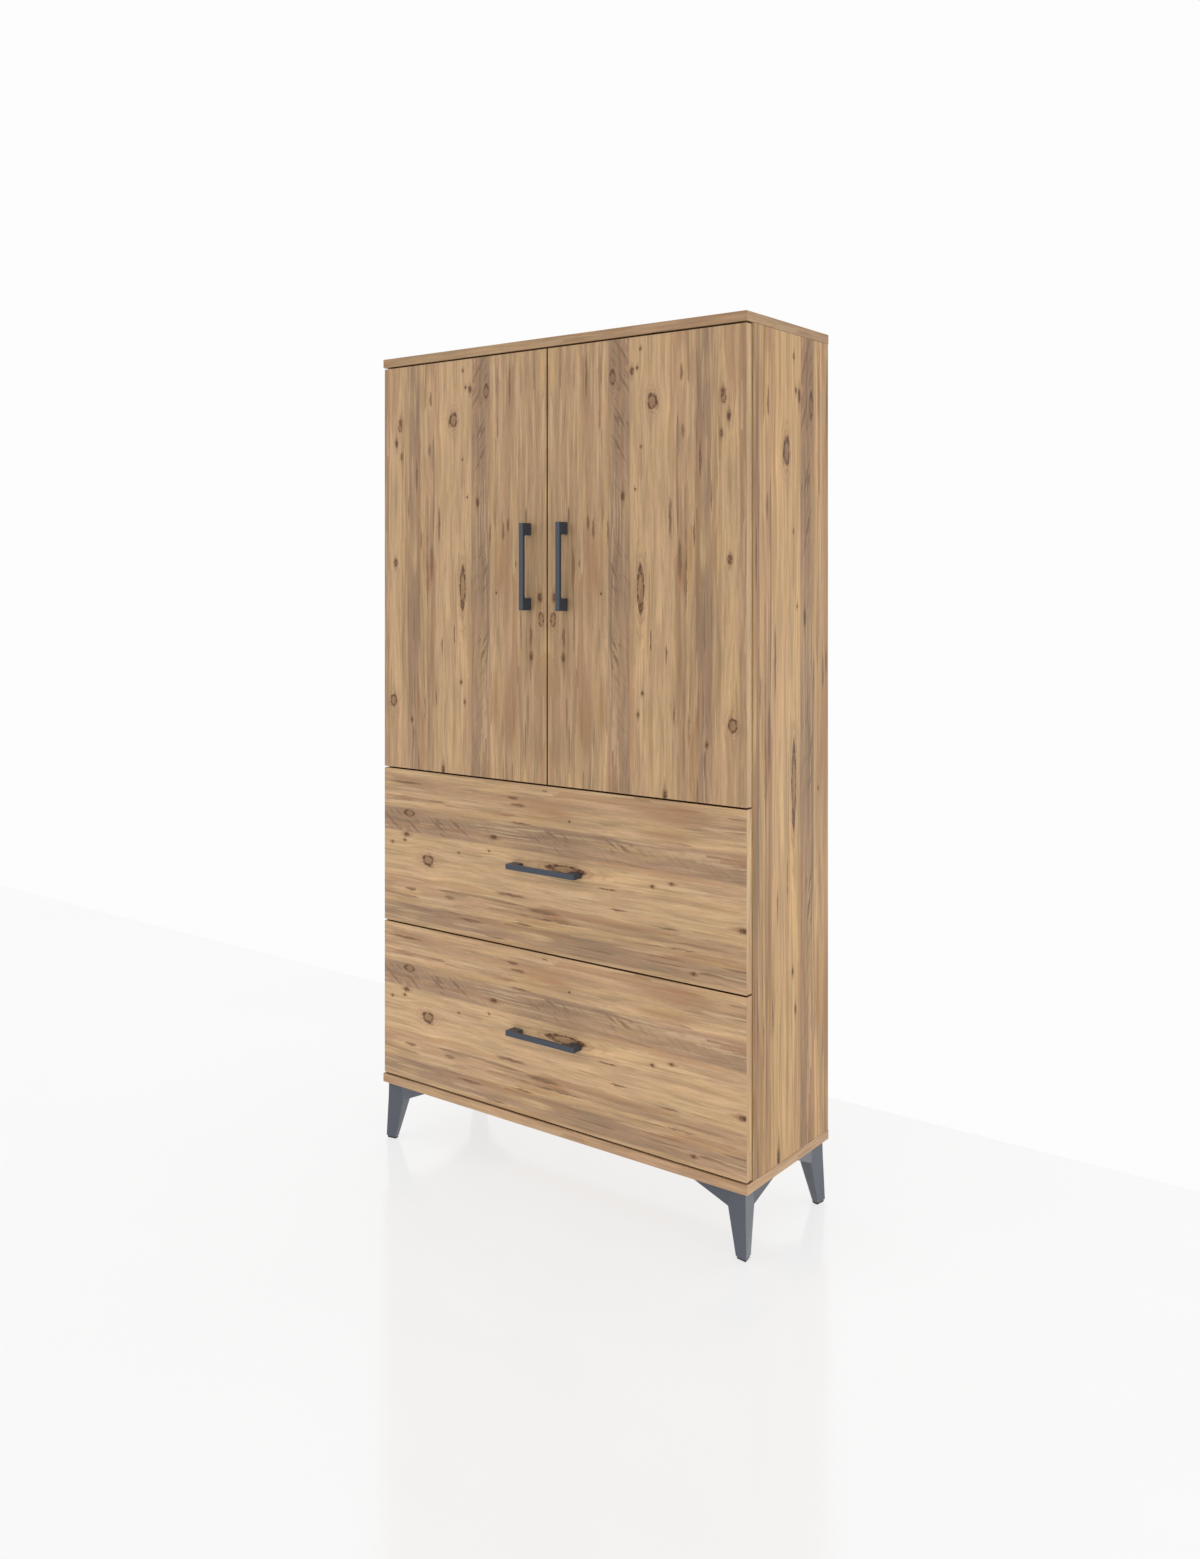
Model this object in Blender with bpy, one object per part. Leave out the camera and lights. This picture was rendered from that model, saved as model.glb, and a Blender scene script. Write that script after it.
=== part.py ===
"""Two-door, two-drawer armoire on four tapered legs, built as separate closed pieces.

Frame: +Z up, floor at z = 0, the fronts face -Y, left and right as seen by someone facing
the doors (left is -X). X = 0 is the middle of the cabinet. Y = 0 is the middle of the
whole depth, handles included. All lengths are metres. Touching pieces keep GAP between
them so that every piece stays a solid of its own.
"""
import math

import bmesh
import bpy
from mathutils import Matrix, Vector

# ---- overall size -------------------------------------------------------------------
WIDTH = 0.900
DEPTH = 0.3045            # top and bottom panel, front edge to back edge
CARCASS_HEIGHT = 1.543
LEG_HEIGHT = 0.120
BOARD = 0.018
BACK_BOARD = 0.003
BACK_BOARD_INSET = 0.001
GAP = 0.0003

# ---- fronts -------------------------------------------------------------------------
REVEAL = 0.003            # visible joint between neighbouring fronts
FRONT_INSET = 0.002       # fronts sit this far inside the panel ends and front edges
FRONT_CLEARANCE = 0.0015  # between the fronts' backs and the side panels
DOOR_HEIGHT = 0.847
DRAWER_HEIGHT = 0.324
EDGE_RADIUS = 0.0008
THIN_EDGE_RADIUS = 0.0006
SHEET_EDGE_RADIUS = 0.0003

# ---- bar handles --------------------------------------------------------------------
HANDLE_LENGTH = 0.1705
HANDLE_WIDTH = 0.0105
HANDLE_REACH = 0.0255     # door face to the front of the bar
HANDLE_BAR = 0.0065       # bar thickness
HANDLE_FOOT = 0.024       # foot length along the bar
HANDLE_FILLET = 0.004
HANDLE_EDGE = 0.0009
HANDLE_INSET = 0.044      # bar centre line to the door's meeting edge

# ---- concealed hinges ---------------------------------------------------------------
PIVOT_IN = 0.008          # hinge axis from the carcass end, and behind the front edges
CUP_RADIUS = 0.0175
CUP_DEPTH = 0.0115
CUP_EDGE = 0.0050         # door edge to the rim of the cup
CUP_WALL = 0.0012
BORE_OVERRUN = 0.004      # cutter length outside the door
CUP_RIM = (0.0012, 0.0006)  # rim laid on the door's back, width and thickness
HINGE_FROM_END = 0.100    # door end to the hinge's middle
ARM_PLATE = (0.0018, 0.058, 0.044)
ARM_BAR = (0.0105, 0.0135)
ARM_SETBACK = 0.003
ARM_EDGE = 0.0008

# ---- shelves ------------------------------------------------------------------------
SHELF_BOARD = 0.016
SHELF_DEPTH = 0.252
SHELF_SIDE_PLAY = 0.0015
SHELF_BACK_PLAY = 0.004
PIN_RADIUS = 0.0025
PIN_LENGTH = 0.010
PIN_COLLAR_RADIUS = 0.0042
PIN_COLLAR = 0.0010
PIN_FROM_EDGE = 0.040

# ---- drawers ------------------------------------------------------------------------
BOX_BOARD = 0.012
BOX_HEIGHT = 0.220
BOX_LENGTH = 0.250
BOX_RISE = 0.024          # front's lower edge to the box's lower edge
BOX_BOTTOM = 0.003
BOX_BOTTOM_RISE = 0.010
RUNNER_SPACE = 0.0127     # side panel to drawer side
RAIL_STEEL = 0.0012
RAIL_LENGTH = 0.246
CABINET_RAIL_HEIGHT = 0.034
CABINET_RAIL_SETBACK = 0.002
CABINET_RAIL_DROP = 0.0045  # rail's lower edge below the drawer box
CABINET_RAIL_LEDGE = 0.0092
CABINET_RAIL_LIP = 0.0030
DRAWER_RAIL_HEIGHT = 0.021
DRAWER_RAIL_WING = 0.0078
DRAWER_RAIL_FOOT = 0.012
ROLLER_RADIUS = 0.0075
ROLLER_WIDTH = 0.0070
ROLLER_FROM_END = (0.012, 0.009)  # cabinet roller at the front, drawer roller at the rear

# ---- legs: outlines as (from the side end, from the front edge), millimetres ---------
MM = 0.001
FOOT_OUTLINE = ((4.8, 4.8), (28.5, 8.8), (26.2, 19.9), (19.9, 26.2), (8.8, 28.5))
KNEE_OUTLINE = ((7.7, 7.7), (46.8, 12.6), (42.5, 39.5), (39.5, 42.5), (12.6, 46.8))
PLATE_OUTLINE = ((8.4, 8.4), (41.0, 12.4), (117.0, 7.2), (117.0, 11.5),
                 (11.5, 117.0), (7.2, 117.0), (12.4, 41.0))
KNEE_DROP = 0.034         # carcass underside to the knee, where the column ends
PLATE_EDGE = 0.0025
LEG_EDGE = 0.0009
GLIDE_HEIGHT = 0.0042
GLIDE_SCALE = 0.86
GLIDE_EDGE = 0.0010

# ---- levels and planes that follow from the sizes above ------------------------------
FRONT_Y = (HANDLE_REACH - FRONT_INSET - DEPTH) / 2
BACK_Y = FRONT_Y + DEPTH
FACE_Y = FRONT_Y + FRONT_INSET
FRONTS_BACK_Y = FACE_Y + BOARD
SIDE_Y = FRONTS_BACK_Y + FRONT_CLEARANCE
BACK_BOARD_Y = BACK_Y - BACK_BOARD
UNDERSIDE_Z = LEG_HEIGHT
FLOOR_PANEL_TOP_Z = UNDERSIDE_Z + BOARD
TOP_Z = UNDERSIDE_Z + CARCASS_HEIGHT
TOP_PANEL_Z = TOP_Z - BOARD
LOWER_DRAWER_Z = FLOOR_PANEL_TOP_Z + REVEAL
UPPER_DRAWER_Z = LOWER_DRAWER_Z + DRAWER_HEIGHT + REVEAL
DOOR_Z = UPPER_DRAWER_Z + DRAWER_HEIGHT + REVEAL
DOOR_MIDDLE_Z = DOOR_Z + DOOR_HEIGHT / 2
DIVIDER_Z = DOOR_Z - REVEAL / 2
DOOR_WIDTH = (WIDTH - 2 * FRONT_INSET - REVEAL) / 2
DRAWER_WIDTH = WIDTH - 2 * FRONT_INSET
INNER_X = WIDTH / 2 - BOARD
PIVOT_X = WIDTH / 2 - PIVOT_IN
PIVOT_Y = FRONT_Y + PIVOT_IN


# ---- building blocks -----------------------------------------------------------------
def clear_scene():
    for item in list(bpy.data.objects):
        bpy.data.objects.remove(item, do_unlink=True)


def principled(name, colour, roughness, metallic=0.0):
    material = bpy.data.materials.new(name)
    material.use_nodes = True
    shader = material.node_tree.nodes["Principled BSDF"]
    shader.inputs["Base Color"].default_value = (*colour, 1.0)
    shader.inputs["Roughness"].default_value = roughness
    shader.inputs["Metallic"].default_value = metallic
    material.diffuse_color = (*colour, 1.0)
    return material


def place(name, mesh, look, at=(0, 0, 0), turn=(0, 0, 0), parent=None):
    """A named piece showing mesh, placed in world space and kept there when parented."""
    piece = bpy.data.objects.new(name, mesh)
    bpy.context.scene.collection.objects.link(piece)
    if not mesh.materials:
        mesh.materials.append(None)
    piece.material_slots[0].link = "OBJECT"
    piece.material_slots[0].material = principled(name + "_look", *look)
    origin = Vector(parent.location) if parent else Vector((0, 0, 0))
    piece.location = Vector(at) - origin
    piece.rotation_euler = turn
    piece.parent = parent
    return piece


def axis_empty(name, at):
    empty = bpy.data.objects.new(name, None)
    bpy.context.scene.collection.objects.link(empty)
    empty.location = at
    return empty


def finish_mesh(bm, name, smooth_angle=None):
    """Faces outward, optional smooth shading below an angle, then a mesh datablock."""
    bmesh.ops.recalc_face_normals(bm, faces=bm.faces)
    if smooth_angle is not None:
        for face in bm.faces:
            face.smooth = True
        for edge in bm.edges:
            edge.smooth = edge.calc_face_angle(0.0) < smooth_angle
    mesh = bpy.data.meshes.new(name)
    bm.to_mesh(mesh)
    bm.free()
    return mesh


def soften(bm, radius, segments=1, sharper_than=math.radians(30)):
    edges = [e for e in bm.edges if e.calc_face_angle(0.0) > sharper_than]
    bmesh.ops.bevel(bm, geom=edges, offset=radius, segments=segments, profile=0.5,
                    affect="EDGES", clamp_overlap=True)


def block(low, high):
    """A bmesh box between two corners."""
    bm = bmesh.new()
    centre = (Vector(low) + Vector(high)) / 2
    size = Vector(high) - Vector(low)
    matrix = Matrix.Translation(centre) @ Matrix.Diagonal((*size, 1.0))
    bmesh.ops.create_cube(bm, size=1.0, matrix=matrix)
    return bm


def board(name, low, high, radius=EDGE_RADIUS, segments=2):
    """A board between two corners with lightly rounded edges."""
    bm = block(low, high)
    soften(bm, radius, segments)
    return finish_mesh(bm, name)


def prism(outline, low, high, axis="Y"):
    """Extrude an outline along an axis: (x, z) points along Y, or (x, y) points along Z."""
    bm = bmesh.new()
    if axis == "Y":
        start = [bm.verts.new((a, low, b)) for a, b in outline]
        step = Vector((0, high - low, 0))
    else:
        start = [bm.verts.new((a, b, low)) for a, b in outline]
        step = Vector((0, 0, high - low))
    face = bm.faces.new(start)
    grown = bmesh.ops.extrude_face_region(bm, geom=[face])["geom"]
    moved = [v for v in grown if isinstance(v, bmesh.types.BMVert)]
    bmesh.ops.translate(bm, verts=moved, vec=step)
    return bm


def turned(name, profile, steps, axis_turn=None):
    """Turn a closed (radius, height) profile about Z into one smooth round solid."""
    bm = bmesh.new()
    points = [bm.verts.new((radius, 0, height)) for radius, height in profile]
    edges = [bm.edges.new(pair) for pair in zip(points, points[1:])]
    bmesh.ops.spin(bm, geom=points + edges, cent=(0, 0, 0), axis=(0, 0, 1),
                   angle=math.tau, steps=steps, use_duplicate=False)
    bmesh.ops.remove_doubles(bm, verts=bm.verts, dist=1e-6)
    if axis_turn:
        bmesh.ops.rotate(bm, verts=bm.verts, cent=(0, 0, 0), matrix=axis_turn)
    return finish_mesh(bm, name, math.radians(35))


# ---- colours: colour, roughness, metallic --------------------------------------------
PINE = ((0.48, 0.33, 0.20), 0.55)
PINE_EDGE = ((0.52, 0.36, 0.21), 0.55)
HARDBOARD = ((0.42, 0.29, 0.18), 0.70)
SLATE = ((0.105, 0.122, 0.150), 0.45)
BLACK_PLASTIC = ((0.030, 0.032, 0.036), 0.60)
NICKEL = ((0.62, 0.62, 0.60), 0.30, 1.0)
RAIL_WHITE = ((0.74, 0.73, 0.69), 0.42)


# ---- carcass -------------------------------------------------------------------------
def build_carcass():
    half = WIDTH / 2
    place("bottom_panel", board("bottom_board", (-half, FRONT_Y, UNDERSIDE_Z),
                                (half, BACK_Y, FLOOR_PANEL_TOP_Z)), PINE_EDGE)
    place("top_panel", board("top_board", (-half, FRONT_Y, TOP_PANEL_Z),
                             (half, BACK_Y, TOP_Z)), PINE_EDGE)
    side_mesh = board("side_board", (-BOARD / 2, SIDE_Y, FLOOR_PANEL_TOP_Z + GAP),
                      (BOARD / 2, BACK_BOARD_Y - GAP, TOP_PANEL_Z - GAP))
    for hand, sign in (("left", -1), ("right", 1)):
        place("side_panel_" + hand, side_mesh, PINE, (sign * (half - BOARD / 2), 0, 0))
    inner = INNER_X - GAP
    place("divider_shelf", board("divider_board",
                                 (-inner, SIDE_Y, DIVIDER_Z - BOARD / 2),
                                 (inner, BACK_BOARD_Y - GAP, DIVIDER_Z + BOARD / 2)), PINE)
    for name, low, high in (("back_panel_lower", FLOOR_PANEL_TOP_Z + GAP, DIVIDER_Z - GAP),
                            ("back_panel_upper", DIVIDER_Z + GAP, TOP_PANEL_Z - GAP)):
        mesh = board(name + "_sheet", (-half + BACK_BOARD_INSET, BACK_BOARD_Y, low),
                     (half - BACK_BOARD_INSET, BACK_Y, high), SHEET_EDGE_RADIUS, 1)
        place(name, mesh, HARDBOARD)


def build_shelves():
    """Two loose shelves on pins share the door bay in three equal spaces."""
    half = INNER_X - SHELF_SIDE_PLAY
    back = BACK_BOARD_Y - SHELF_BACK_PLAY
    front = back - SHELF_DEPTH
    shelf = board("shelf_board", (-half, front, 0), (half, back, SHELF_BOARD))
    profile = ((0, 0), (PIN_RADIUS, 0), (PIN_RADIUS, PIN_LENGTH - PIN_COLLAR),
               (PIN_COLLAR_RADIUS, PIN_LENGTH - PIN_COLLAR),
               (PIN_COLLAR_RADIUS, PIN_LENGTH), (0, PIN_LENGTH))
    pin = turned("shelf_pin", profile, 16, Matrix.Rotation(math.pi / 2, 3, "Y"))
    bay_low = DIVIDER_Z + BOARD / 2
    bay = TOP_PANEL_Z - bay_low
    for name, part in (("lower", 1), ("upper", 2)):
        level = bay_low + bay * part / 3 - SHELF_BOARD / 2
        place("shelf_" + name, shelf, PINE, (0, 0, level))
        pin_z = level - PIN_RADIUS - GAP
        for hand, sign in (("left", -1), ("right", 1)):
            for end, y in (("front", front + PIN_FROM_EDGE), ("rear", back - PIN_FROM_EDGE)):
                at = (sign * (INNER_X - GAP - PIN_LENGTH), y, pin_z)
                turn = (0, 0, 0 if sign > 0 else math.pi)
                place("shelf_pin_{}_{}_{}".format(name, hand, end), pin, NICKEL, at, turn)


def build_legs():
    """Each leg is a tapering five-sided column that spreads into a triangular plate."""
    foot_z = GLIDE_HEIGHT + GAP
    knee_z = LEG_HEIGHT - KNEE_DROP
    top_z = LEG_HEIGHT - GAP
    bm = bmesh.new()

    def ring(outline, z):
        return [bm.verts.new((x * MM, y * MM, z)) for x, y in outline]

    foot = ring(FOOT_OUTLINE, foot_z)
    knee = ring(KNEE_OUTLINE, knee_z)
    plate = ring(PLATE_OUTLINE, top_z)
    lip = [bm.verts.new((v.co.x, v.co.y, top_z - PLATE_EDGE)) for v in plate[2:6]]
    bm.faces.new(foot)
    bm.faces.new(plate)
    for i in range(5):
        j = (i + 1) % 5
        bm.faces.new((foot[i], foot[j], knee[j], knee[i]))
    bm.faces.new((knee[0], knee[1], plate[1], plate[0]))
    bm.faces.new((knee[1], lip[0], plate[2], plate[1]))
    bm.faces.new((knee[1], knee[2], lip[1], lip[0]))
    bm.faces.new((knee[2], knee[3], lip[2], lip[1]))
    bm.faces.new((knee[3], knee[4], lip[3], lip[2]))
    bm.faces.new((knee[4], plate[6], plate[5], lip[3]))
    bm.faces.new((knee[4], knee[0], plate[0], plate[6]))
    for i in range(3):
        bm.faces.new((lip[i], lip[i + 1], plate[i + 3], plate[i + 2]))
    bmesh.ops.recalc_face_normals(bm, faces=bm.faces)
    soften(bm, LEG_EDGE, 2, math.radians(20))
    leg = finish_mesh(bm, "leg")

    centre = Vector((sum(p[0] for p in FOOT_OUTLINE), sum(p[1] for p in FOOT_OUTLINE)))
    centre = centre * MM / len(FOOT_OUTLINE)
    inset = [tuple(centre + (Vector(p) * MM - centre) * GLIDE_SCALE) for p in FOOT_OUTLINE]
    bm = prism(inset, 0, GLIDE_HEIGHT, "Z")
    soften(bm, GLIDE_EDGE, 2)
    glide = finish_mesh(bm, "glide")

    half = WIDTH / 2
    corners = (("front_left", -half, FRONT_Y, 0), ("front_right", half, FRONT_Y, 1),
               ("rear_right", half, BACK_Y, 2), ("rear_left", -half, BACK_Y, 3))
    for name, x, y, quarter in corners:
        turn = (0, 0, quarter * math.pi / 2)
        place("leg_" + name, leg, SLATE, (x, y, 0), turn)
        place("glide_" + name, glide, BLACK_PLASTIC, (x, y, 0), turn)


# ---- hardware shared by doors and drawers ---------------------------------------------
def handle_mesh():
    """A bar on two block feet; length along Z, standing off the face at y = 0 to -Y."""
    half = HANDLE_LENGTH / 2
    inner = half - HANDLE_FOOT
    back = -GAP
    bar_back = -(HANDLE_REACH - HANDLE_BAR)
    outline = [(-HANDLE_REACH, -half), (back, -half), (back, -inner)]
    for side in (-1, 1):
        corner = Vector((bar_back + HANDLE_FILLET, side * (inner - HANDLE_FILLET)))
        arc = []
        for step in range(5):
            angle = math.pi / 2 * step / 4
            arc.append((corner.x - HANDLE_FILLET * math.sin(angle),
                        corner.y + side * HANDLE_FILLET * math.cos(angle)))
        outline += arc if side < 0 else arc[::-1]
    outline += [(back, inner), (back, half), (-HANDLE_REACH, half)]
    bm = bmesh.new()
    start = [bm.verts.new((-HANDLE_WIDTH / 2, y, z)) for y, z in outline]
    face = bm.faces.new(start)
    grown = bmesh.ops.extrude_face_region(bm, geom=[face])["geom"]
    moved = [v for v in grown if isinstance(v, bmesh.types.BMVert)]
    bmesh.ops.translate(bm, verts=moved, vec=(HANDLE_WIDTH, 0, 0))
    bmesh.ops.recalc_face_normals(bm, faces=bm.faces)
    soften(bm, HANDLE_EDGE, 2, math.radians(50))
    return finish_mesh(bm, "bar_handle")


def cup_mesh():
    """Hinge cup: an open steel cup along +Y's bore with a flange on the door's back."""
    floor = CUP_DEPTH - CUP_WALL
    bore = CUP_RADIUS - CUP_WALL
    rim = CUP_RADIUS + CUP_RIM[0]
    top = GAP + CUP_RIM[1]
    profile = ((0, -CUP_DEPTH), (CUP_RADIUS, -CUP_DEPTH), (CUP_RADIUS, GAP), (rim, GAP),
               (rim, top), (bore, top), (bore, -floor), (0, -floor))
    return turned("hinge_cup", profile, 40, Matrix.Rotation(-math.pi / 2, 3, "X"))


# ---- doors ---------------------------------------------------------------------------
def build_doors(handle):
    """Each door turns about a vertical axis inside its thickness, near its outer edge."""
    cup = cup_mesh()
    cup_x = DOOR_WIDTH / 2 - CUP_EDGE - CUP_RADIUS
    cup_levels = (HINGE_FROM_END, DOOR_HEIGHT - HINGE_FROM_END)
    for hand, sign in (("left", -1), ("right", 1)):
        axis = axis_empty("door_axis_" + hand, (sign * PIVOT_X, PIVOT_Y, DOOR_MIDDLE_Z))
        outer = WIDTH / 2 - FRONT_INSET
        centre_x = sign * (outer - DOOR_WIDTH / 2)
        mesh = board("door_board_" + hand, (-DOOR_WIDTH / 2, 0, -DOOR_HEIGHT / 2),
                     (DOOR_WIDTH / 2, BOARD, DOOR_HEIGHT / 2))
        door = place("door_" + hand, mesh, PINE, (centre_x, FACE_Y, DOOR_MIDDLE_Z),
                     parent=axis)
        for number, level in enumerate(cup_levels):
            where = Vector((sign * cup_x, BOARD, level - DOOR_HEIGHT / 2))
            bore_cup(door, where, "bore_{}_{}".format(hand, number))
            end = ("lower", "upper")[number]
            at = Vector((centre_x, FACE_Y, DOOR_MIDDLE_Z)) + where
            place("hinge_cup_{}_{}".format(hand, end), cup, NICKEL, at, parent=axis)
        handle_x = sign * (REVEAL / 2 + HANDLE_INSET)
        place("handle_door_" + hand, handle, SLATE, (handle_x, FACE_Y, DOOR_MIDDLE_Z),
              parent=axis)


def join_hidden(piece, mesh, name, where, operation):
    """Cut or join a hidden shape, placed in the piece's own space."""
    shape = bpy.data.objects.new(name, mesh)
    bpy.context.scene.collection.objects.link(shape)
    shape.parent = piece
    shape.location = where
    shape.hide_render = True
    shape.display_type = "WIRE"
    change = piece.modifiers.new(name, "BOOLEAN")
    change.operation = operation
    change.solver = "EXACT"
    change.object = shape


def bore_cup(door, where, name):
    """Cut a blind round bore into the door's back with a Boolean."""
    bm = bmesh.new()
    depth = CUP_DEPTH + GAP
    over = BORE_OVERRUN
    bmesh.ops.create_cone(bm, cap_ends=True, segments=40, radius1=CUP_RADIUS + GAP,
                          radius2=CUP_RADIUS + GAP, depth=depth + over)
    bmesh.ops.rotate(bm, verts=bm.verts, cent=(0, 0, 0),
                     matrix=Matrix.Rotation(math.pi / 2, 3, "X"))
    bmesh.ops.translate(bm, verts=bm.verts, vec=(0, (over - depth) / 2, 0))
    join_hidden(door, finish_mesh(bm, name), name, where, "DIFFERENCE")


def build_hinge_arms():
    """Mounting plate on the side panel with the arm reaching forward to the cup."""
    plate_x, plate_y, plate_z = ARM_PLATE
    bar_x, bar_z = ARM_BAR
    outline = ((0, -plate_z / 2), (plate_x, -plate_z / 2), (plate_x, -bar_z / 2),
               (plate_x + bar_x, -bar_z / 2), (plate_x + bar_x, bar_z / 2),
               (plate_x, bar_z / 2), (plate_x, plate_z / 2), (0, plate_z / 2))
    bm = prism(outline, 0, plate_y)
    bmesh.ops.recalc_face_normals(bm, faces=bm.faces)
    soften(bm, ARM_EDGE, 2)
    mesh = finish_mesh(bm, "hinge_arm")
    levels = (("lower", DOOR_Z + HINGE_FROM_END),
              ("upper", DOOR_Z + DOOR_HEIGHT - HINGE_FROM_END))
    for hand, sign in (("left", -1), ("right", 1)):
        for end, z in levels:
            at = (sign * (INNER_X - GAP), SIDE_Y + ARM_SETBACK, z)
            turn = (0, 0 if sign < 0 else math.pi, 0)
            place("hinge_arm_{}_{}".format(hand, end), mesh, NICKEL, at, turn)


# ---- drawers -------------------------------------------------------------------------
def rail_outlines():
    """Sections of a left-hand runner seen from the front, x from the side panel inward."""
    steel = RAIL_STEEL
    cabinet = ((0, 0), (CABINET_RAIL_LEDGE, 0), (CABINET_RAIL_LEDGE, steel), (steel, steel),
               (steel, CABINET_RAIL_HEIGHT - steel),
               (CABINET_RAIL_LIP, CABINET_RAIL_HEIGHT - steel),
               (CABINET_RAIL_LIP, CABINET_RAIL_HEIGHT), (0, CABINET_RAIL_HEIGHT))
    reach = DRAWER_RAIL_WING
    drawer = ((DRAWER_RAIL_FOOT, -steel), (DRAWER_RAIL_FOOT, 0), (0, 0),
              (0, DRAWER_RAIL_HEIGHT), (-reach, DRAWER_RAIL_HEIGHT),
              (-reach, DRAWER_RAIL_HEIGHT - steel), (-steel, DRAWER_RAIL_HEIGHT - steel),
              (-steel, -steel))
    return cabinet, drawer


def rail_pair():
    """The two left-hand rails; the right-hand ones are their mirror images."""
    meshes = {}
    for sign in (-1, 1):
        for kind, outline in zip(("cabinet", "drawer"), rail_outlines()):
            points = [(-sign * x, z) for x, z in outline]
            bm = prism(points, 0, RAIL_LENGTH)
            bmesh.ops.recalc_face_normals(bm, faces=bm.faces)
            meshes[kind, sign] = finish_mesh(bm, "{}_rail_{}".format(kind, sign))
    return meshes


def add_roller(rail, near_x, far_x, y, z):
    """Join a roller on an axis along X to a rail with a Boolean."""
    name = rail.name + "_roller"
    bm = bmesh.new()
    bmesh.ops.create_cone(bm, cap_ends=True, segments=24, radius1=ROLLER_RADIUS,
                          radius2=ROLLER_RADIUS, depth=abs(far_x - near_x))
    bmesh.ops.rotate(bm, verts=bm.verts, cent=(0, 0, 0),
                     matrix=Matrix.Rotation(math.pi / 2, 3, "Y"))
    join_hidden(rail, finish_mesh(bm, name), name, ((near_x + far_x) / 2, y, z), "UNION")


def build_drawers(handle):
    rails = rail_pair()
    side_x = INNER_X - RUNNER_SPACE
    start = FRONTS_BACK_Y + GAP
    end = start + BOX_LENGTH
    inside = side_x - BOX_BOARD - GAP
    front = board("drawer_front", (-DRAWER_WIDTH / 2, 0, 0),
                  (DRAWER_WIDTH / 2, BOARD, DRAWER_HEIGHT))
    side = board("drawer_side", (-BOX_BOARD / 2, start, 0), (BOX_BOARD / 2, end, BOX_HEIGHT),
                 THIN_EDGE_RADIUS, 1)
    back = board("drawer_back", (-inside, end - BOX_BOARD, 0), (inside, end, BOX_HEIGHT),
                 THIN_EDGE_RADIUS, 1)
    base = board("drawer_bottom", (-inside, start, BOX_BOTTOM_RISE),
                 (inside, end - BOX_BOARD - GAP, BOX_BOTTOM_RISE + BOX_BOTTOM),
                 SHEET_EDGE_RADIUS, 1)
    for name, front_z in (("upper", UPPER_DRAWER_Z), ("lower", LOWER_DRAWER_Z)):
        slide = axis_empty("drawer_slide_" + name, (0, FACE_Y, front_z + DRAWER_HEIGHT / 2))
        box_z = front_z + BOX_RISE
        title = "drawer_{}_".format(name)
        place(title + "front", front, PINE, (0, FACE_Y, front_z), parent=slide)
        place(title + "back", back, PINE_EDGE, (0, 0, box_z), parent=slide)
        place(title + "bottom", base, HARDBOARD, (0, 0, box_z), parent=slide)
        place("handle_drawer_" + name, handle, SLATE,
              (0, FACE_Y, front_z + DRAWER_HEIGHT / 2), (0, math.pi / 2, 0), slide)
        for hand, sign in (("left", -1), ("right", 1)):
            place(title + "side_" + hand, side, PINE_EDGE,
                  (sign * (side_x - BOX_BOARD / 2), 0, box_z), parent=slide)
            moving = place(title + "rail_" + hand, rails["drawer", sign], RAIL_WHITE,
                           (sign * (side_x + GAP), start, box_z - GAP), parent=slide)
            fixed = place("cabinet_rail_{}_{}".format(name, hand), rails["cabinet", sign],
                          RAIL_WHITE, (sign * (INNER_X - GAP), SIDE_Y + CABINET_RAIL_SETBACK,
                                       box_z - CABINET_RAIL_DROP))
            # the cabinet roller carries the drawer rail's wing from below
            wing_z = CABINET_RAIL_DROP - GAP + DRAWER_RAIL_HEIGHT - RAIL_STEEL
            add_roller(fixed, -sign * RAIL_STEEL / 2, -sign * (RAIL_STEEL / 2 + ROLLER_WIDTH),
                       ROLLER_FROM_END[0], wing_z - GAP - ROLLER_RADIUS)
            # the drawer roller runs on the cabinet rail's ledge
            ledge_z = GAP - CABINET_RAIL_DROP + RAIL_STEEL
            add_roller(moving, sign * RAIL_STEEL / 2, sign * (RAIL_STEEL / 2 + ROLLER_WIDTH),
                       RAIL_LENGTH - ROLLER_FROM_END[1], ledge_z + GAP + ROLLER_RADIUS)


def main():
    clear_scene()
    build_carcass()
    build_shelves()
    build_legs()
    build_hinge_arms()
    handle = handle_mesh()
    build_doors(handle)
    build_drawers(handle)


main()
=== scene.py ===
"""Looks for the two-door, two-drawer armoire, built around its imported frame.

Metres, +Z up, fronts towards -Y. The boards carry one printed pine decor, drawn by a node
group in millimetres: U runs across the grain and V along it. Each board only says how its
own axes meet U and V, so knots and staves line up as they do on a printed board.
"""

import math

import bmesh
import bpy
from mathutils import Matrix, Vector


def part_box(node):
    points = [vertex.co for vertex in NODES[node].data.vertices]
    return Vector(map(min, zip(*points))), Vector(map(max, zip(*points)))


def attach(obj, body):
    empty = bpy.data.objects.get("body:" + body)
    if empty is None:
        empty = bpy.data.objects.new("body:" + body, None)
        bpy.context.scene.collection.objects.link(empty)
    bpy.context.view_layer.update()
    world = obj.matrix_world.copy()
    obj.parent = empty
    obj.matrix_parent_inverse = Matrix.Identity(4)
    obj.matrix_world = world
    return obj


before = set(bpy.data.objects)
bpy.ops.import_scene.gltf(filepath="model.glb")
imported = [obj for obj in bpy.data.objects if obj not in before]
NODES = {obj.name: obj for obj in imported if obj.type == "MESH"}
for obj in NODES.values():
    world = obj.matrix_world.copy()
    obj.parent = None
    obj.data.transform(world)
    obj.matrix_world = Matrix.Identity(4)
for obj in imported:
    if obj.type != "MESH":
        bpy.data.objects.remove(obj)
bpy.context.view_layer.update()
MM = 0.001
PER_METRE = 1000.0         # millimetres of decor to a metre of board
X, Y, Z = 0, 1, 2


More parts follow.
